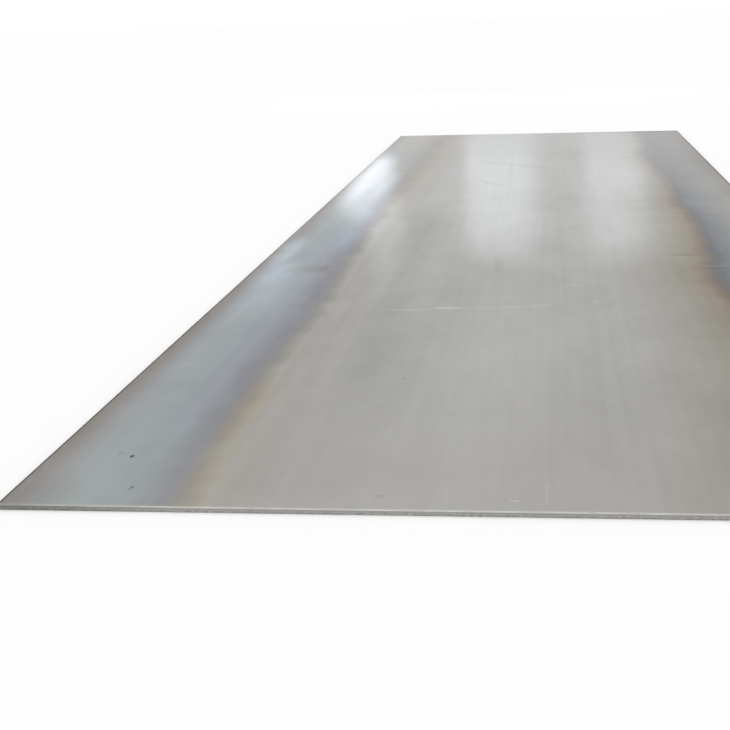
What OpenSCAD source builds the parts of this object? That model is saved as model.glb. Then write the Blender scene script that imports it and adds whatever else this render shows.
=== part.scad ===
// Hot-rolled steel plate, cut to length from wide strip.
// Its long sides are mill edges: the rolls leave them bulged, with round corners.
// Its short ends are sheared: the blade rolls the top edge over, burnishes a land and tears the rest away.
// X runs across the width, Y along the rolling direction and Z up, from the middle of the underside.

/* [Plate] */
// Length along the rolling direction, over the burnished lands of both ends
plate_length = 6000; // [2000:50:12000]
// Width across the crowns of both mill edges
plate_width = 1500; // [600:10:2500]
// Thickness between the rolled faces
plate_thickness = 8; // [6:0.5:25]

/* [Mill edges] */
// Radius of the rounds where a mill edge turns into the rolled faces
mill_round_r = 1.6; // [0.8:0.1:2]
// How far the crown of a mill edge stands out past those rounds
mill_bulge = 0.6; // [0.2:0.1:1]

/* [Sheared ends] */
// Radius of the top edge that the blade rolls over
roll_over_r = 1.6; // [0.4:0.1:2]
// Height of the burnished land under the rolled-over edge
burnish_height = 2.2; // [0.6:0.1:3]
// Lean of the torn face under the land, from upright, in degrees
tear_angle = 4; // [1:0.5:10]

/* [Hidden] */
$fn = 96;

// The largest share of the thickness that one edge round may take
round_limit_share = 0.25;
// How far a cutting outline runs past the plate
overrun = plate_thickness;

// Mill edge: two rounds with a shallow arc between them that is tangent to both
edge_round = min(mill_round_r, round_limit_share * plate_thickness);
round_rise = plate_thickness / 2 - edge_round;
edge_reach = edge_round + mill_bulge;
bulge_r = edge_round + mill_bulge / 2 + round_rise * round_rise / (2 * mill_bulge);
bulge_half_height = round_rise * bulge_r / (bulge_r - edge_round);
flat_half_width = plate_width / 2 - edge_reach;

// Sheared end: heights are measured from the underside
roll_over = min(roll_over_r, round_limit_share * plate_thickness);
land_top = plate_thickness - roll_over;
land_bottom = land_top - burnish_height;
tear_setback = land_bottom * tan(tear_angle);
half_length = plate_length / 2;

// One mill edge in section, to the right of the line through the centres of its rounds
module mill_edge() {
    for (side = [-1, 1])
        translate([0, side * round_rise]) circle(edge_round);
    intersection() {
        translate([edge_reach - bulge_r, 0]) circle(bulge_r);
        translate([0, -bulge_half_height]) square([edge_reach, 2 * bulge_half_height]);
    }
}

// The section that the rolls leave, across the width
module rolled_section() {
    square([2 * flat_half_width, plate_thickness], center = true);
    for (side = [0, 1])
        mirror([side, 0]) translate([flat_half_width, 0]) mill_edge();
}

// One sheared end in side view, from the middle of the plate out to the land
module sheared_end() {
    polygon([
        [0, 0],
        [half_length - tear_setback, 0],
        [half_length, land_bottom],
        [half_length, land_top],
        [half_length - roll_over, plate_thickness],
        [0, plate_thickness]
    ]);
    translate([half_length - roll_over, land_top]) circle(roll_over);
}

// The plate in side view, along the rolling direction
module sheared_outline() {
    for (side = [0, 1])
        mirror([side, 0]) sheared_end();
}

module steel_plate() {
    color([0.66, 0.66, 0.64])
        intersection() {
            translate([0, 0, plate_thickness / 2]) rotate([90, 0, 0])
                linear_extrude(plate_length + 2 * overrun, center = true) rolled_section();
            rotate([90, 0, 90])
                linear_extrude(plate_width + 2 * overrun, center = true) sheared_outline();
        }
}

steel_plate();
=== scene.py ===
import math

import bmesh
import bpy
from mathutils import Euler, Matrix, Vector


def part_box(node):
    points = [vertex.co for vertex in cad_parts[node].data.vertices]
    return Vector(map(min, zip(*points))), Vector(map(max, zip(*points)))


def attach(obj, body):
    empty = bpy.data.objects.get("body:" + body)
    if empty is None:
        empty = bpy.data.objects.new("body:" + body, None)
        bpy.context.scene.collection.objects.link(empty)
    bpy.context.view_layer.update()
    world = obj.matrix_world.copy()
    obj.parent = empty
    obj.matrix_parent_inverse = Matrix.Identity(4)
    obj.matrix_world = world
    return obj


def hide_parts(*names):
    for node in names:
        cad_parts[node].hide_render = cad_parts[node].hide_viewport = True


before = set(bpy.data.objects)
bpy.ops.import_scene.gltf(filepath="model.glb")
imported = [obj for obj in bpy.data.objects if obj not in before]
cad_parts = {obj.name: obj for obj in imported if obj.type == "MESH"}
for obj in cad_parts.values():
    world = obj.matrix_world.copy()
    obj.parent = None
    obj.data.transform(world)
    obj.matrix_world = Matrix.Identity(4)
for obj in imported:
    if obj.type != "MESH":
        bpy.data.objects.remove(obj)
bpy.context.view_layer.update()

plateLow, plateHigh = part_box("steel_plate")
plateWidth = plateHigh[0] - plateLow[0]
plateLength = plateHigh[1] - plateLow[1]
plateThick = plateHigh[2] - plateLow[2]
halfWidth = plateWidth / 2
halfLength = plateLength / 2
mm = 0.001
hair = 0.01 * mm    # closer than this counts as the same place
squareOn = 0.9      # a face whose normal has this share of an axis looks along it
plateSizes = [round(size, 4) for size in (plateWidth, plateLength, plateThick)]
print("frame loaded: plate of", plateSizes, "m")


# selecting by place, in edit mode

def editMesh():
    return bmesh.from_edit_mesh(bpy.context.edit_object.data)


def pick(kind, test):
    # kind is verts, edges or faces, and test gets one of them
    bpy.ops.mesh.select_all(action="DESELECT")
    mesh = editMesh()
    mesh.normal_update()
    for part in getattr(mesh, kind):
        if test(part):
            part.select_set(True)
    bmesh.update_edit_mesh(bpy.context.edit_object.data)


def near(a, b):
    return abs(a - b) < hair


def ends(edge):
    return edge.verts[0].co, edge.verts[1].co


def runsAcross(edge, atLeast):
    a, b = ends(edge)
    return abs(a.x - b.x) > atLeast


def runsAlong(edge, atLeast):
    a, b = ends(edge)
    return abs(a.y - b.y) > atLeast


def cutThrough(place, normal):
    bpy.ops.mesh.select_all(action="SELECT")
    bpy.ops.mesh.bisect(plane_co=place, plane_no=normal)


# the plate, shaped from a block

plateShape = {
    "crown": 0.6 * mm,        # how far a mill edge bulges at mid-thickness
    "millRound": 1.6 * mm,    # round between a mill edge and the faces
    "millRows": 16,           # rows of faces down a mill edge
    "rollOver": 1.6 * mm,     # top edge that the shear rolled over
    "rollRows": 5,            # rows of faces round it
    "land": 2.2 * mm,         # burnished band under it
    "tearLean": 4.0,          # degrees that the torn part leans in
    "tearRows": 4,            # rows of faces down the torn part
    "sharpCorner": 40,        # degrees from which a corner stays sharp
    "rim": 14 * mm,           # strip round the faces that gets a finer mesh
    "cellsLong": 100,         # cells of the faces along the plate
    "cellsWide": 25,          # and across it
    "rimCuts": 11,            # cuts in each cell along the rim
}
landTop = plateThick - plateShape["rollOver"]
landFoot = landTop - plateShape["land"]
# where the mill edges and the sheared ends start
millStart = halfWidth - plateShape["crown"] - plateShape["millRound"]
shearStart = halfLength - plateShape["rollOver"]

# unevenness pushed into the mesh: lump size, height, direction
plateWear = {
    "millRagged": (0.05, 0.5 * mm, "X"),
    "shearWander": (0.12, 0.5 * mm, "Y"),
    "tornGrain": (0.009, 0.35 * mm, "Y"),
    "waves": (0.8, 1.6 * mm, "Z"),
}


def shapeShearedEnds():
    pick("edges", lambda e: runsAcross(e, halfWidth) and all(
        near(abs(p.y), halfLength) and near(p.z, plateThick) for p in ends(e)))
    bpy.ops.mesh.bevel(offset=plateShape["rollOver"], segments=plateShape["rollRows"], affect="EDGES")
    lean = math.tan(math.radians(plateShape["tearLean"]))
    for row in range(1, plateShape["tearRows"] + 1):
        pick("faces", lambda f: abs(f.normal.y) > squareOn)
        height = landFoot * row / plateShape["tearRows"]
        bpy.ops.mesh.bisect(plane_co=(0, 0, height), plane_no=(0, 0, 1), threshold=hair)
    # each row of points under the land is pulled in by the lean
    rows = {round(v.co.z, 6) for v in editMesh().verts if v.co.z < landFoot - hair}
    for row in sorted(rows):
        pick("verts", lambda v: near(v.co.z, row) and near(abs(v.co.y), halfLength))
        pullIn = 1 - (landFoot - row) * lean / halfLength
        bpy.ops.transform.resize(value=(1, pullIn, 1), center_override=(0, 0, row))


def millReach(height):
    # how far a mill edge stands out at a height: a round above and below, and a shallow arc between them
    middle = plateThick / 2
    edgeRound = plateShape["millRound"]
    crown = plateShape["crown"]
    rise = middle - edgeRound
    arc = edgeRound + crown / 2 + rise**2 / (2 * crown)
    fromMiddle = abs(height - middle)
    if fromMiddle < rise * arc / (arc - edgeRound):
        return edgeRound + crown - arc + math.sqrt(arc**2 - fromMiddle**2)
    return math.sqrt(max(edgeRound**2 - (fromMiddle - rise)**2, 0))


def shapeMillEdges():
    rows = plateShape["millRows"]
    for row in range(1, rows):
        # closer together towards the faces
        height = plateThick / 2 * (1 - math.cos(math.pi * row / rows))
        pick("faces", lambda f: abs(f.normal.x) > squareOn)
        bpy.ops.mesh.bisect(plane_co=(0, 0, height), plane_no=(0, 0, 1), threshold=hair)
    # each row of points is drawn in to the outline of the edge
    heights = {round(v.co.z, 6) for v in editMesh().verts if near(abs(v.co.x), halfWidth)}
    for height in sorted(heights):
        pick("verts", lambda v: near(v.co.z, height) and near(abs(v.co.x), halfWidth))
        drawIn = (millStart + millReach(height)) / halfWidth
        bpy.ops.transform.resize(value=(drawIn, 1, 1), center_override=(0, 0, height))


def cutFaceGrid():
    rim = plateShape["rim"]
    innerX = halfWidth - rim
    innerY = halfLength - rim
    for side in (-1, 1):
        cutThrough((side * innerX, 0, 0), (1, 0, 0))
        cutThrough((0, side * innerY, 0), (0, 1, 0))
    pick("edges", lambda e: runsAlong(e, halfLength))
    bpy.ops.mesh.subdivide(number_cuts=plateShape["cellsLong"] - 1)
    pick("edges", lambda e: runsAcross(e, halfWidth))
    bpy.ops.mesh.subdivide(number_cuts=plateShape["cellsWide"] - 1)
    # the rim is cut finer along its length only
    pick("edges", lambda e: runsAlong(e, 2 * rim) and all(abs(p.x) > innerX - hair for p in ends(e)))
    bpy.ops.mesh.subdivide(number_cuts=plateShape["rimCuts"])
    pick("edges", lambda e: runsAcross(e, 2 * rim) and all(abs(p.y) > innerY - hair for p in ends(e)))
    bpy.ops.mesh.subdivide(number_cuts=plateShape["rimCuts"])
    # cells beside the rim have many points on one side, so they are split from their middles
    pick("faces", lambda f: len(f.verts) > 4 and abs(f.normal.z) > squareOn)
    bpy.ops.mesh.poke()


def fillSlot(piece, slot, test):
    pick("faces", lambda f: test(f.calc_center_median()))
    piece.active_material_index = slot
    bpy.ops.object.material_slot_assign()


def slotFaces(piece, materials):
    # rolled faces, mill edges, rolled-over edge, land and torn part, in that order
    for material in materials:
        piece.data.materials.append(material)
    atSide = millStart + hair
    atEnd = shearStart + hair
    fillSlot(piece, 1, lambda c: abs(c.x) > atSide)
    # the bands of a sheared end lie between these heights
    for slot, low, high in ((2, landTop, plateThick), (3, landFoot, landTop), (4, hair, landFoot)):
        fillSlot(piece, slot, lambda c: abs(c.x) < atSide and abs(c.y) > atEnd and low < c.z < high)


def groupPoints(piece, name, test):
    group = piece.vertex_groups.new(name=name)
    group.add([v.index for v in piece.data.vertices if test(v.co)], 1.0, "REPLACE")


def wearPlate(piece):
    atSide = millStart - hair
    atEnd = shearStart - hair
    groupPoints(piece, "millRagged", lambda p: abs(p.x) > atSide)
    groupPoints(piece, "shearWander", lambda p: abs(p.y) > atEnd)
    groupPoints(piece, "tornGrain", lambda p: abs(p.y) > atEnd and hair < p.z < landFoot - hair)
    groupPoints(piece, "waves", lambda p: True)
    for name, (size, height, direction) in plateWear.items():
        cloud = bpy.data.textures.new(name, "CLOUDS")
        cloud.noise_scale = size
        cloud.noise_depth = 1
        push = piece.modifiers.new(name, "DISPLACE")
        push.texture = cloud
        push.texture_coords = "LOCAL"
        push.direction = direction
        push.strength = height
        push.vertex_group = name
        bpy.ops.object.modifier_apply(modifier=name)
    piece.vertex_groups.clear()
    # back down until it touches the floor
    lowest = min(v.co.z for v in piece.data.vertices)
    bpy.ops.object.mode_set(mode="EDIT")
    bpy.ops.mesh.select_all(action="SELECT")
    bpy.ops.transform.translate(value=(0, 0, -lowest))
    bpy.ops.object.mode_set(mode="OBJECT")


def smoothPlate(piece):
    bpy.ops.object.shade_smooth()
    weigh = piece.modifiers.new("flatFaces", "WEIGHTED_NORMAL")
    weigh.weight = 100    # the largest faces decide
    weigh.keep_sharp = True
    bpy.ops.object.modifier_apply(modifier="flatFaces")


def buildPlate(materials):
    bpy.ops.object.select_all(action="DESELECT")
    bpy.ops.mesh.primitive_cube_add(size=1, location=(0, 0, plateThick / 2))
    piece = bpy.context.active_object
    piece.name = "rolled_plate"
    bpy.ops.transform.resize(value=(plateWidth, plateLength, plateThick))
    bpy.ops.object.transform_apply(location=True, rotation=True, scale=True)
    bpy.ops.object.mode_set(mode="EDIT")
    bpy.context.tool_settings.mesh_select_mode = (True, True, True)
    shapeShearedEnds()
    shapeMillEdges()
    cutFaceGrid()
    bpy.ops.mesh.select_all(action="DESELECT")
    bpy.ops.mesh.edges_select_sharp(sharpness=math.radians(plateShape["sharpCorner"]))
    bpy.ops.mesh.mark_sharp()
    # flat layout that gives the faces their rolling direction
    bpy.ops.mesh.select_all(action="SELECT")
    bpy.ops.uv.cube_project(cube_size=1.0, correct_aspect=False, scale_to_bounds=False)
    slotFaces(piece, materials)
    bpy.ops.object.mode_set(mode="OBJECT")
    wearPlate(piece)
    smoothPlate(piece)
    return piece


# shader nodes

def put(tree, kind, **settings):
    node = tree.nodes.new(kind)
    for key, value in settings.items():
        setattr(node, key, value)
    return node


def feed(tree, socket, value):
    # value is another node's output, or a plain number or colour
    if isinstance(value, bpy.types.NodeSocket):
        tree.links.new(value, socket)
    else:
        socket.default_value = value


def calc(tree, operation, *values):
    node = put(tree, "ShaderNodeMath", operation=operation)
    for socket, value in zip(node.inputs, values):
        feed(tree, socket, value)
    return node.outputs[0]


def remap(tree, value, start, end, low=0.0, high=1.0, curve="SMOOTHSTEP"):
    node = put(tree, "ShaderNodeMapRange", interpolation_type=curve)
    for socket, number in zip(node.inputs, (value, start, end, low, high)):
        feed(tree, socket, number)
    return node.outputs["Result"]


def mixColour(tree, share, first, second, blend="MIX"):
    node = put(tree, "ShaderNodeMix", data_type="RGBA", blend_type=blend)
    colours = [socket for socket in node.inputs if socket.type == "RGBA"]
    feed(tree, node.inputs["Factor"], share)
    feed(tree, colours[0], first)
    feed(tree, colours[1], second)
    return [socket for socket in node.outputs if socket.type == "RGBA"][0]


def scaled(tree, colour, share):
    node = put(tree, "ShaderNodeVectorMath", operation="SCALE")
    node.inputs[0].default_value = colour
    feed(tree, node.inputs["Scale"], share)
    return node.outputs[0]


def noiseOn(tree, where, perMetre, detail=2.0, roughness=0.5):
    # lumps a metre along X, Y and Z, centred on zero
    place = put(tree, "ShaderNodeMapping")
    feed(tree, place.inputs["Vector"], where)
    place.inputs["Scale"].default_value = perMetre
    node = put(tree, "ShaderNodeTexNoise")
    feed(tree, node.inputs["Vector"], place.outputs["Vector"])
    node.inputs["Scale"].default_value = 1.0
    node.inputs["Detail"].default_value = detail
    node.inputs["Roughness"].default_value = roughness
    return calc(tree, "SUBTRACT", node.outputs["Fac"], 0.5)


def addNoises(tree, where, layers, start, detail=2.0):
    # each layer has its height to either side, and its lumps a metre
    total = start
    for height, perMetre in layers:
        total = calc(tree, "MULTIPLY_ADD", noiseOn(tree, where, perMetre, detail), 2 * height, total)
    return total


def colourRamp(tree, value, stops):
    node = put(tree, "ShaderNodeValToRGB")
    ramp = node.color_ramp
    while len(ramp.elements) < len(stops):
        ramp.elements.new(0.5)
    # the new stops get their places and colours in order
    for element, (place, colour) in zip(ramp.elements, stops):
        element.position = place
        element.color = (*colour, 1)
    feed(tree, node.inputs["Fac"], value)
    return node.outputs["Color"]


def lineAlong(tree, along, points):
    # a smooth line through points: place along the plate, value
    node = put(tree, "ShaderNodeFloatCurve")
    curve = node.mapping.curves[0]
    spots = [((place + halfLength) / plateLength, value) for place, value in points]
    curve.points[0].location = spots[0]
    curve.points[1].location = spots[-1]
    for place, value in spots[1:-1]:
        curve.points.new(place, value)
    node.mapping.update()
    feed(tree, node.inputs["Value"], remap(tree, along, -halfLength, halfLength, curve="LINEAR"))
    return node.outputs["Value"]


def ovalMark(tree, where, across, along, halfAcross, halfAlong, turn, core):
    # 1 inside an oval on the plate, fading to 0 from its core to its rim
    oval = put(tree, "ShaderNodeMapping", vector_type="TEXTURE")
    feed(tree, oval.inputs["Vector"], where)
    oval.inputs["Location"].default_value = (across, along, 0)
    oval.inputs["Rotation"].default_value = (0, 0, math.radians(turn))
    oval.inputs["Scale"].default_value = (halfAcross, halfAlong, 1)
    reach = put(tree, "ShaderNodeVectorMath", operation="LENGTH")
    feed(tree, reach.inputs[0], oval.outputs["Vector"])
    return remap(tree, reach.outputs["Value"], core, 1.0, 1.0, 0.0)


def shaken(tree, where, reach, perMetre):
    # places pushed about by up to the reach, for marks with ragged rims
    node = put(tree, "ShaderNodeTexNoise")
    feed(tree, node.inputs["Vector"], where)
    node.inputs["Scale"].default_value = perMetre
    centred = put(tree, "ShaderNodeVectorMath", operation="SUBTRACT")
    feed(tree, centred.inputs[0], node.outputs["Color"])
    centred.inputs[1].default_value = (0.5, 0.5, 0.5)
    moved = put(tree, "ShaderNodeVectorMath", operation="MULTIPLY_ADD")
    feed(tree, moved.inputs[0], centred.outputs[0])
    moved.inputs[1].default_value = (2 * reach, 2 * reach, 0)
    feed(tree, moved.inputs[2], where)
    return moved.outputs[0]


def addMarks(tree, where, marks, core, start=0.0):
    total = start
    for *oval, tone in marks:
        total = calc(tree, "MULTIPLY_ADD", ovalMark(tree, where, *oval, core), tone, total)
    return total


def bumpFrom(tree, shader, height):
    # height is in metres
    node = put(tree, "ShaderNodeBump")
    node.inputs["Strength"].default_value = 1.0
    node.inputs["Distance"].default_value = 1.0
    feed(tree, node.inputs["Height"], height)
    feed(tree, shader.inputs["Normal"], node.outputs["Normal"])


def startMaterial(name):
    material = bpy.data.materials.new(name)
    material.use_nodes = True
    tree = material.node_tree
    tree.nodes.clear()
    shader = put(tree, "ShaderNodeBsdfPrincipled")
    output = put(tree, "ShaderNodeOutputMaterial")
    tree.links.new(shader.outputs["BSDF"], output.inputs["Surface"])
    where = put(tree, "ShaderNodeTexCoord").outputs["Object"]
    parts = put(tree, "ShaderNodeSeparateXYZ")
    tree.links.new(where, parts.inputs[0])
    return material, tree, shader, where, list(parts.outputs)


# rolled faces: grey steel with temper colours along both mill edges

rolledLook = {
    "steel": (0.445, 0.438, 0.41),
    "flatAngle": (0.68, 0.68, 0.68),       # how bright it stays at a flat angle
    "temperDepth": 0.57,                   # temper colours seen from above
    "temperFlatDepth": 0.77,               # temper colours at a flat angle
    "paleBlueTint": (1.50, 1.62, 1.78, 1),    # pale blue patches in the left band
    "smearTint": (0.90, 0.88, 0.79, 1),    # tan smears there
    "warmTint": (1.07, 1.01, 0.88, 1),     # warm patches along its border and at its far end
    "tealTint": (1.00, 1.032, 1.018, 1),   # greenish patch at its near end
    "rampReach": 2.2,                      # band widths that a temper ramp covers
    "leftTurn": (-0.9, 1.5),               # where along the plate the near colours turn into the far ones
    "rightTurn": (-0.3, 1.5),
    "wanderReach": 0.09,                   # metres from a mill edge over which the wander sets in
    "topShares": (0.4, 0.6),               # shares of the thickness over which the marks on top set in
    "scratchGrain": (60, 200, 0),          # lumps a metre that break up the scratches
    "scratchBreaks": (-0.15, 0.1, 0.4, 1.0),    # start and end in that noise, strength there
    "pitRims": (5 * mm, 130),              # how far the rims of pits are pushed about, lumps a metre
    "farDarkening": (0.3, 3.0, 0.0, -0.10),     # start and end along the plate, tone there, darker towards the far end
    "endHighlight": (0.0016, 0.0080, 0.08, 0.0),    # start and end from a sheared end, tone of the painted highlight along it
    "scaleRims": (0.03, (40, 18, 0)),      # metres that the loose scale's border wanders, lumps a metre
    "rimScale": (0.003, 0.016),            # metres from a mill edge where the loose scale ends
    "rimTone": -0.06,                      # tone of that scale
    "rimShadeLine": (0.0022, 0.0060, -0.5, 0.0),     # start and end from a mill edge, tone of the painted shade line beside it
    "fleckGrain": ((160, 70, 0), 6.0, 0.65),    # lumps a metre, detail and roughness of the flecks' noise
    "fleckNoise": (0.15, 0.20),            # where in that noise a fleck starts and is whole
    "fleckReach": (0.006, 0.016, 1.0, 0.0),     # start and end from a mill edge, share of flecks there
    "fleckTone": 0.55,                     # tone of a whole fleck
    "roughness": (0.105, 0.135),           # smoother and rougher patches
    "patchGrain": ((5, 1.4, 0), 3.0),      # lumps a metre and detail of those patches
    "patchNoise": (-0.2, 0.2),             # where in that noise they are smoothest and roughest
    "rimRoughness": (0.0, 0.045, 0.08, 0.0),    # start and end from a mill edge, roughness added there
    "grainLay": 0.96,                      # rougher across the rolling direction than along it
    "reliefDetail": 1.0,                   # detail of the relief's noise
}
# band width at places along the plate
leftBand = (
    (-3.0, 0.246), (-2.5, 0.238), (-2.0, 0.228), (-1.5, 0.238), (-1.15, 0.225), (-0.95, 0.211),
    (-0.78, 0.214), (-0.5, 0.212), (-0.2, 0.214), (0.2, 0.216), (1.0, 0.224), (2.0, 0.236), (3.0, 0.250),
)
rightBand = (
    (-3.0, 0.250), (-2.3, 0.240), (-1.95, 0.228), (-1.6, 0.242), (-1.05, 0.246), (-0.86, 0.230),
    (-0.5, 0.212), (0.1, 0.224), (0.5, 0.214), (0.9, 0.203), (1.3, 0.220), (1.7, 0.233), (2.3, 0.206),
    (3.0, 0.194),
)
# how the border of the bands wanders: metres, lumps a metre across and along
bandWander = ((0.022, (1.4, 2.6, 0)), (0.024, (3.0, 7.5, 0)), (0.004, (20, 10, 0)))
# tone of the grey: share, lumps a metre across and along
greyTone = (
    (0.035, (48, 0.5, 0)), (0.05, (1.6, 1.1, 0)), (0.04, (9, 4, 0)), (0.025, (26, 11, 0)),
    (0.03, (420, 260, 0)), (0.09, (1500, 500, 0)),
)
# relief in metres, lumps a metre across and along
rolledRelief = (
    (0.00003, (34, 0.9, 0)), (0.000015, (9, 5, 0)), (0.000002, (300, 180, 0)), (0.000002, (1500, 500, 0)),
)
# temper colours from the mill edge inwards, by band widths
leftNear = (
    (0.00, (0.70, 0.655, 0.65)), (0.09, (0.715, 0.685, 0.675)), (0.15, (0.785, 0.78, 0.815)),
    (0.28, (0.86, 0.91, 0.97)), (0.40, (0.88, 0.955, 1.00)), (0.70, (0.82, 0.885, 0.975)),
    (0.80, (0.80, 0.855, 0.945)), (0.97, (0.69, 0.71, 0.80)), (1.04, (0.71, 0.705, 0.77)),
    (1.11, (0.75, 0.74, 0.75)), (1.18, (0.86, 0.84, 0.825)), (1.25, (0.965, 0.95, 0.925)),
    (1.42, (0.965, 0.955, 0.94)), (1.80, (1, 1, 1)),
)
leftFar = (
    (0.00, (0.80, 0.79, 0.79)), (0.10, (0.90, 0.90, 0.91)), (0.30, (0.94, 0.95, 0.98)),
    (0.60, (0.92, 0.915, 0.93)), (0.85, (0.83, 0.835, 0.83)), (0.95, (0.79, 0.775, 0.765)),
    (1.08, (0.82, 0.755, 0.725)), (1.20, (0.89, 0.825, 0.77)), (1.35, (0.96, 0.915, 0.855)),
    (1.50, (0.975, 0.945, 0.90)), (1.80, (1, 1, 1)),
)
rightNear = (
    (0.00, (0.69, 0.62, 0.60)), (0.10, (0.72, 0.67, 0.65)), (0.30, (0.77, 0.77, 0.75)),
    (0.60, (0.68, 0.69, 0.70)), (0.85, (0.54, 0.57, 0.63)), (0.97, (0.45, 0.47, 0.52)),
    (1.06, (0.53, 0.485, 0.475)), (1.14, (0.68, 0.565, 0.49)), (1.22, (0.75, 0.68, 0.585)),
    (1.36, (0.79, 0.755, 0.675)), (1.60, (0.87, 0.855, 0.82)), (1.90, (0.95, 0.94, 0.92)),
    (2.15, (1, 1, 1)),
)
rightFar = (
    (0.00, (0.66, 0.58, 0.55)), (0.10, (0.655, 0.595, 0.56)), (0.19, (0.645, 0.625, 0.605)),
    (0.32, (0.69, 0.68, 0.68)), (0.60, (0.675, 0.685, 0.69)), (0.90, (0.635, 0.635, 0.655)),
    (1.00, (0.635, 0.625, 0.64)), (1.10, (0.70, 0.66, 0.65)), (1.20, (0.80, 0.755, 0.725)),
    (1.35, (0.91, 0.885, 0.855)), (1.60, (0.98, 0.97, 0.96)), (2.00, (1, 1, 1)),
)
# marks on the top face: place across and along, half size across and along, turn in degrees, tone
scratches = (
    (-0.279, -1.630, 0.080, 0.014, 5, 0.07), (-0.177, -1.613, 0.042, 0.018, 1, 0.19),
    (-0.110, -1.615, 0.060, 0.013, 0, 0.04), (0.003, -1.598, 0.095, 0.020, 13, 0.045),
    (0.120, -1.333, 0.050, 0.014, -18, 0.045), (0.175, -1.548, 0.024, 0.014, -5, 0.06),
    (0.500, -1.081, 0.050, 0.016, 0, 0.13), (0.012, -2.955, 0.012, 0.005, 0, 0.16),
    (0.059, -2.920, 0.004, 0.065, 0, 0.06), (-0.089, -2.930, 0.005, 0.066, 4, 0.045),
)
# pits, with faint dark streaks and stains, and painted shade along two creases
pitsAndCreaseShade = (
    (-0.610, -2.767, 0.004, 0.011, -6, -0.48), (-0.567, -2.919, 0.004, 0.012, 0, -0.28),
    (-0.634, -2.748, 0.007, 0.008, 0, -0.10), (-0.185, -2.942, 0.010, 0.014, 20, -0.08),
    (-0.214, -2.262, 0.007, 0.012, 0, -0.07), (0.445, -0.905, 0.060, 0.034, 0, -0.09),
    # painted shade: these two long diagonal marks are dark lines along creases where the plate is kinked
    (-0.060, 1.420, 0.370, 0.040, -44, -0.05), (-0.178, 0.810, 0.200, 0.030, -63, -0.06),
    (-0.098, 1.200, 0.012, 1.100, 0.8, -0.04), (-0.074, -1.050, 0.020, 0.220, 4, -0.05),
    (0.600, 2.960, 0.170, 0.080, 0, -0.22), (0.350, 2.970, 0.300, 0.050, 0, -0.12),
    (0.749, 1.600, 0.014, 2.200, 0, -0.18),
)
# patches lighter or darker than the grey round them
tonePatches = (
    (0.330, -2.900, 0.420, 0.900, 0, -0.03), (-0.040, -2.100, 0.240, 1.000, 0, 0.07),
    (-0.375, -0.580, 0.160, 1.050, 0, -0.115), (-0.310, -1.900, 0.070, 1.300, 0, -0.04),
    (0.050, -0.750, 0.110, 0.350, 0, -0.04), (-0.690, -2.960, 0.080, 0.150, 0, -0.08),
    (-0.630, 0.500, 0.050, 0.500, 0, -0.11),
)
# share of a mark's size that has its full tone
markCores = {
    "scratches": 0.4, "pitsAndCreaseShade": 0.3, "tonePatches": 0.0,
    "tongues": 0.0, "smears": 0.0, "paleBlues": 0.0, "warms": 0.2, "teals": 0.2,
}
# where the border of the left band is drawn back, in metres
tongues = ((-0.570, -1.092, 0.090, 0.110, 0, 0.025),)
# warm and greenish patches, tan smears and pale blue patches in the left band, with their depth
warms = (
    (-0.480, -2.480, 0.045, 0.320, 0, 0.8), (-0.468, -2.900, 0.045, 0.320, 0, 0.7),
    (-0.600, 2.750, 0.200, 0.800, 0, 0.5),
)
teals = ((-0.590, -2.780, 0.130, 0.420, 0, 1.0),)
smears = ((-0.615, -1.092, 0.080, 0.110, 0, 0.55), (-0.724, -0.800, 0.045, 0.120, 0, 1.0))
paleBlues = (
    (-0.690, -1.130, 0.095, 0.290, 0, 0.42), (-0.660, -1.400, 0.140, 0.500, 0, 0.2),
    (-0.718, -0.790, 0.060, 0.360, 0, 0.9), (-0.748, -0.440, 0.024, 0.480, 0, 0.5),
    (-0.575, -0.480, 0.060, 0.380, 0, 0.18), (-0.585, 0.850, 0.050, 0.550, 0, 0.25),
    (-0.540, -0.580, 0.055, 0.260, 0, 0.28), (-0.665, 1.700, 0.055, 0.420, 0, 0.25),
)


def temperColour(tree, where, across, along):
    look = rolledLook
    reach = look["rampReach"]
    drift = addMarks(tree, where, tongues, markCores["tongues"], addNoises(tree, where, bandWander, 0.0))
    sides = (
        (calc(tree, "ADD", across, halfWidth), leftBand, leftNear, leftFar, look["leftTurn"]),
        (calc(tree, "SUBTRACT", halfWidth, across), rightBand, rightNear, rightFar, look["rightTurn"]),
    )
    bands = []
    for fromEdge, width, nearStops, farStops, turn in sides:
        # the drift grows from nothing at the edge
        wander = calc(tree, "MULTIPLY", drift, remap(tree, fromEdge, 0.0, look["wanderReach"]))
        reached = calc(tree, "ADD", fromEdge, wander)
        share = calc(tree, "DIVIDE", reached, calc(tree, "MULTIPLY", lineAlong(tree, along, width), reach))
        nearRamp = colourRamp(tree, share, [(place / reach, colour) for place, colour in nearStops])
        farRamp = colourRamp(tree, share, [(place / reach, colour) for place, colour in farStops])
        bands.append(mixColour(tree, remap(tree, along, *turn), nearRamp, farRamp))
    temper = mixColour(tree, 1.0, *bands, "MULTIPLY")
    for marks, kind in ((paleBlues, "paleBlue"), (smears, "smear"), (warms, "warm"), (teals, "teal")):
        depth = addMarks(tree, where, marks, markCores[kind + "s"])
        temper = mixColour(tree, depth, temper, look[kind + "Tint"], "MULTIPLY")
    return temper


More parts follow.
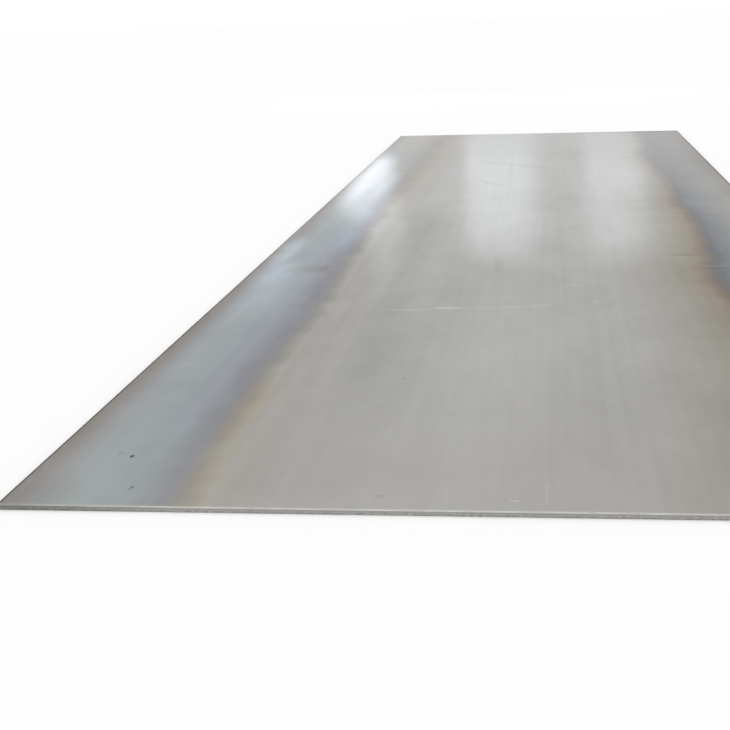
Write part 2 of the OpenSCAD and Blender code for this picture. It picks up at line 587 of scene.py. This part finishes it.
def greyLevel(tree, where, fromEdge, along, up):
    # 1 is the plain grey, less is darker
    look = rolledLook
    onTop = remap(tree, up, *[share * plateThick for share in look["topShares"]])
    marks = addMarks(tree, where, scratches, markCores["scratches"])
    broken = remap(tree, noiseOn(tree, where, look["scratchGrain"]), *look["scratchBreaks"])
    marks = calc(tree, "MULTIPLY", marks, broken)
    marks = addMarks(tree, shaken(tree, where, *look["pitRims"]), pitsAndCreaseShade, markCores["pitsAndCreaseShade"], marks)
    marks = addMarks(tree, where, tonePatches, markCores["tonePatches"], marks)
    tone = calc(tree, "MULTIPLY_ADD", marks, onTop, addNoises(tree, where, greyTone, 1.0))
    # darker towards the far end
    tone = calc(tree, "ADD", tone, remap(tree, along, *look["farDarkening"]))
    fromEnd = calc(tree, "SUBTRACT", halfLength, calc(tree, "ABSOLUTE", along))
    # painted highlight: the top face is lighter in a strip along each sheared end, widening the bright line
    # at the rolled-over edge
    tone = calc(tree, "ADD", tone, remap(tree, fromEnd, *look["endHighlight"]))
    # loose scale and bare flecks beside the mill edges, and a painted shade line along them
    reach, perMetre = look["scaleRims"]
    ragged = calc(tree, "MULTIPLY_ADD", noiseOn(tree, where, perMetre), reach, fromEdge)
    rim = remap(tree, ragged, *look["rimScale"], 1.0, 0.0)
    tone = calc(tree, "MULTIPLY_ADD", rim, look["rimTone"], tone)
    # painted shade: a dark line on the top face beside each mill edge
    tone = calc(tree, "ADD", tone, remap(tree, fromEdge, *look["rimShadeLine"]))
    fleck = remap(tree, noiseOn(tree, where, *look["fleckGrain"]), *look["fleckNoise"])
    fleck = calc(tree, "MULTIPLY", fleck, remap(tree, fromEdge, *look["fleckReach"]))
    return calc(tree, "MULTIPLY_ADD", fleck, look["fleckTone"], tone)


def rolledMaterial():
    look = rolledLook
    material, tree, shader, where, (across, along, up) = startMaterial("rolled_face")
    temper = temperColour(tree, where, across, along)
    fromEdge = calc(tree, "SUBTRACT", halfWidth, calc(tree, "ABSOLUTE", across))
    tone = greyLevel(tree, where, fromEdge, along, up)
    steel = scaled(tree, look["steel"], tone)
    feed(tree, shader.inputs["Base Color"], mixColour(tree, look["temperDepth"], steel, temper, "MULTIPLY"))
    flat = scaled(tree, look["flatAngle"], tone)
    flat = mixColour(tree, look["temperFlatDepth"], flat, temper, "MULTIPLY")
    feed(tree, shader.inputs["Specular Tint"], flat)
    patches = noiseOn(tree, where, *look["patchGrain"])
    patches = remap(tree, patches, *look["patchNoise"], *look["roughness"], "LINEAR")
    rough = calc(tree, "ADD", patches, remap(tree, fromEdge, *look["rimRoughness"]))
    feed(tree, shader.inputs["Roughness"], rough)
    shader.inputs["Metallic"].default_value = 1.0
    shader.inputs["Anisotropic"].default_value = look["grainLay"]
    lay = put(tree, "ShaderNodeTangent", direction_type="UV_MAP")
    feed(tree, shader.inputs["Tangent"], lay.outputs["Tangent"])
    bumpFrom(tree, shader, addNoises(tree, where, rolledRelief, 0.0, look["reliefDetail"]))
    return material


# edges: dark scaly mill edges, partly painted shade, and three bands on the sheared ends, of which the
# rolled-over one is partly a painted highlight

edgeLooks = {
    # dark as black scale, and partly painted shade along the edge
    "mill_edge": {
        "light": (0.10, 0.095, 0.09), "dark": (0.03, 0.027, 0.025), "perMetre": (40, 14, 90),
        "roughness": 0.5, "metal": 0.6, "relief": 0.00015, "reliefPerMetre": (300, 120, 300),
    },
    # light as burnished steel, and partly a painted highlight along the top of each sheared end
    "roll_over": {
        "light": (0.63, 0.62, 0.595), "dark": (0.50, 0.487, 0.465), "perMetre": (25, 200, 200),
        "roughness": 0.25, "metal": 1.0, "relief": 0.00003, "reliefPerMetre": (200, 900, 900),
    },
    "shear_land": {
        "light": (0.36, 0.355, 0.34), "dark": (0.29, 0.28, 0.265), "perMetre": (500, 30, 30),
        "roughness": 0.3, "metal": 1.0, "relief": 0.00002, "reliefPerMetre": (1200, 60, 60),
    },
    "shear_tear": {
        "light": (0.46, 0.455, 0.44), "dark": (0.32, 0.31, 0.29), "perMetre": (160, 300, 300),
        "roughness": 0.45, "metal": 1.0, "relief": 0.00006, "reliefPerMetre": (700, 700, 700),
    },
}
# blots of the light colour on the dark one, and where in their noise they start and are whole
edgeBlots = {"detail": 3.0, "roughness": 0.6, "noise": (-0.2, 0.2)}
# the near end is darker towards its left corner
cornerDarkening = {"place": (-halfWidth, -halfLength), "reach": 0.30, "tint": (0.62, 0.62, 0.60, 1)}


def edgeMaterial(name):
    look = edgeLooks[name]
    material, tree, shader, where, parts = startMaterial(name)
    blot = noiseOn(tree, where, look["perMetre"], edgeBlots["detail"], edgeBlots["roughness"])
    blot = remap(tree, blot, *edgeBlots["noise"])
    colour = mixColour(tree, blot, (*look["dark"], 1), (*look["light"], 1))
    cornerShare = ovalMark(tree, where, *cornerDarkening["place"], cornerDarkening["reach"], cornerDarkening["reach"], 0, 0.0)
    colour = mixColour(tree, cornerShare, colour, mixColour(tree, 1.0, colour, cornerDarkening["tint"], "MULTIPLY"))
    feed(tree, shader.inputs["Base Color"], colour)
    shader.inputs["Roughness"].default_value = look["roughness"]
    shader.inputs["Metallic"].default_value = look["metal"]
    bumpFrom(tree, shader, addNoises(tree, where, ((look["relief"], look["reliefPerMetre"]),), 0.0))
    return material


plateMaterials = [rolledMaterial()] + [edgeMaterial(name) for name in edgeLooks]
print("materials made:", ", ".join(material.name for material in plateMaterials))
plate = buildPlate(plateMaterials)
print("plate modelled:", len(plate.data.polygons), "faces")
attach(plate, "root")
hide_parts("steel_plate")


# floor, light and camera

studio = {
    "floorSize": 120.0,
    "floorColour": (0.985, 0.985, 0.985, 1),
    "worldColour": (1, 1, 1, 1),
    "worldStrength": 1.0,
    "stripDistance": 7.1,    # metres from the plate's middle, past its far end
    "stripColour": (0.86, 0.92, 1.0),
}
# light strips that the plate mirrors: three for the bright patch in the left band, two for the pale streaks
# lean is in degrees, and fade has the shares that fade out at the left, right, bottom and top
farStrips = (
    {
        "side": -1.485, "width": 0.36, "bottom": 0.41, "top": 1.18, "lean": 35,
        "glow": 1.35, "fade": (0.25, 0.35, 0.24, 0.4),
    },
    {
        "side": -1.395, "width": 0.28, "bottom": 0.76, "top": 1.33, "lean": 33,
        "glow": 0.55, "fade": (0.3, 0.3, 0.25, 0.3),
    },
    {
        "side": -1.285, "width": 0.23, "bottom": 0.94, "top": 1.64, "lean": 30,
        "glow": 0.55, "fade": (0.4, 0.4, 0.3, 0.3),
    },
    {
        "side": -0.297, "width": 0.76, "bottom": 0.02, "top": 1.55, "lean": 0,
        "glow": 0.44, "fade": (0.14, 0.4, 0.5, 0.22),
    },
    {
        "side": 0.635, "width": 0.66, "bottom": 0.02, "top": 1.53, "lean": -4.5,
        "glow": 0.29, "fade": (0.2, 0.3, 0.5, 0.22),
    },
)
cameraSetup = {
    "place": (0.060, -4.899, 0.704),
    "turnLeft": 7.58,    # degrees, as the next two
    "lookDown": 14.13,
    "tilt": -1.79,
    "lens": 70.0,        # millimetres, as the sensor
    "sensor": 36.0,
}


def layFloor():
    bpy.ops.object.select_all(action="DESELECT")
    bpy.ops.mesh.primitive_plane_add(size=studio["floorSize"], location=(0, 0, 0))
    floor = bpy.context.active_object
    floor.name = "floor"
    material, tree, shader, *places = startMaterial("floor_white")
    shader.inputs["Base Color"].default_value = studio["floorColour"]
    shader.inputs["Roughness"].default_value = 1.0
    shader.inputs["Specular IOR Level"].default_value = 0.0
    floor.data.materials.append(material)


def fadeStrip(light, left, right, bottom, top):
    # the strip faces the camera, so its own X runs to the left
    light.use_nodes = True
    tree = light.node_tree
    spot = put(tree, "ShaderNodeSeparateXYZ")
    feed(tree, spot.inputs[0], put(tree, "ShaderNodeNewGeometry").outputs["Parametric"])
    leftwards, upwards = spot.outputs[0], spot.outputs[1]
    glow = calc(tree, "MULTIPLY", remap(tree, leftwards, 0, right), remap(tree, leftwards, 1, 1 - left))
    glow = calc(tree, "MULTIPLY", glow, remap(tree, upwards, 0, bottom))
    glow = calc(tree, "MULTIPLY", glow, remap(tree, upwards, 1, 1 - top))
    feed(tree, tree.nodes["Emission"].inputs["Strength"], glow)


def lightStudio():
    world = bpy.data.worlds.new("studio")
    world.use_nodes = True
    background = world.node_tree.nodes["Background"]
    background.inputs["Color"].default_value = studio["worldColour"]
    background.inputs["Strength"].default_value = studio["worldStrength"]
    bpy.context.scene.world = world
    for setup in farStrips:
        height = setup["top"] - setup["bottom"]
        place = (setup["side"], studio["stripDistance"], setup["bottom"] + height / 2)
        facing = (math.radians(90), math.radians(setup["lean"]), math.radians(180))
        bpy.ops.object.light_add(type="AREA", location=place, rotation=facing)
        strip = bpy.context.active_object
        strip.name = "far_strip"
        strip.data.shape = "RECTANGLE"
        strip.data.size = setup["width"]
        strip.data.size_y = height
        strip.data.color = studio["stripColour"]
        strip.data.energy = setup["glow"] * math.pi * setup["width"] * height
        fadeStrip(strip.data, *setup["fade"])
        strip.visible_camera = False


def placeCamera():
    setup = cameraSetup
    bpy.ops.object.camera_add(location=setup["place"])
    camera = bpy.context.active_object
    aim = Euler((math.radians(90 - setup["lookDown"]), 0, math.radians(setup["turnLeft"]))).to_matrix()
    aim = aim @ Matrix.Rotation(math.radians(setup["tilt"]), 3, "Z")
    camera.rotation_euler = aim.to_euler()
    camera.data.lens = setup["lens"]
    camera.data.sensor_width = setup["sensor"]
    camera.data.clip_end = 2 * studio["floorSize"]
    bpy.context.scene.camera = camera


layFloor()
lightStudio()
placeCamera()
bpy.context.scene.view_settings.view_transform = "Standard"
print("studio set")
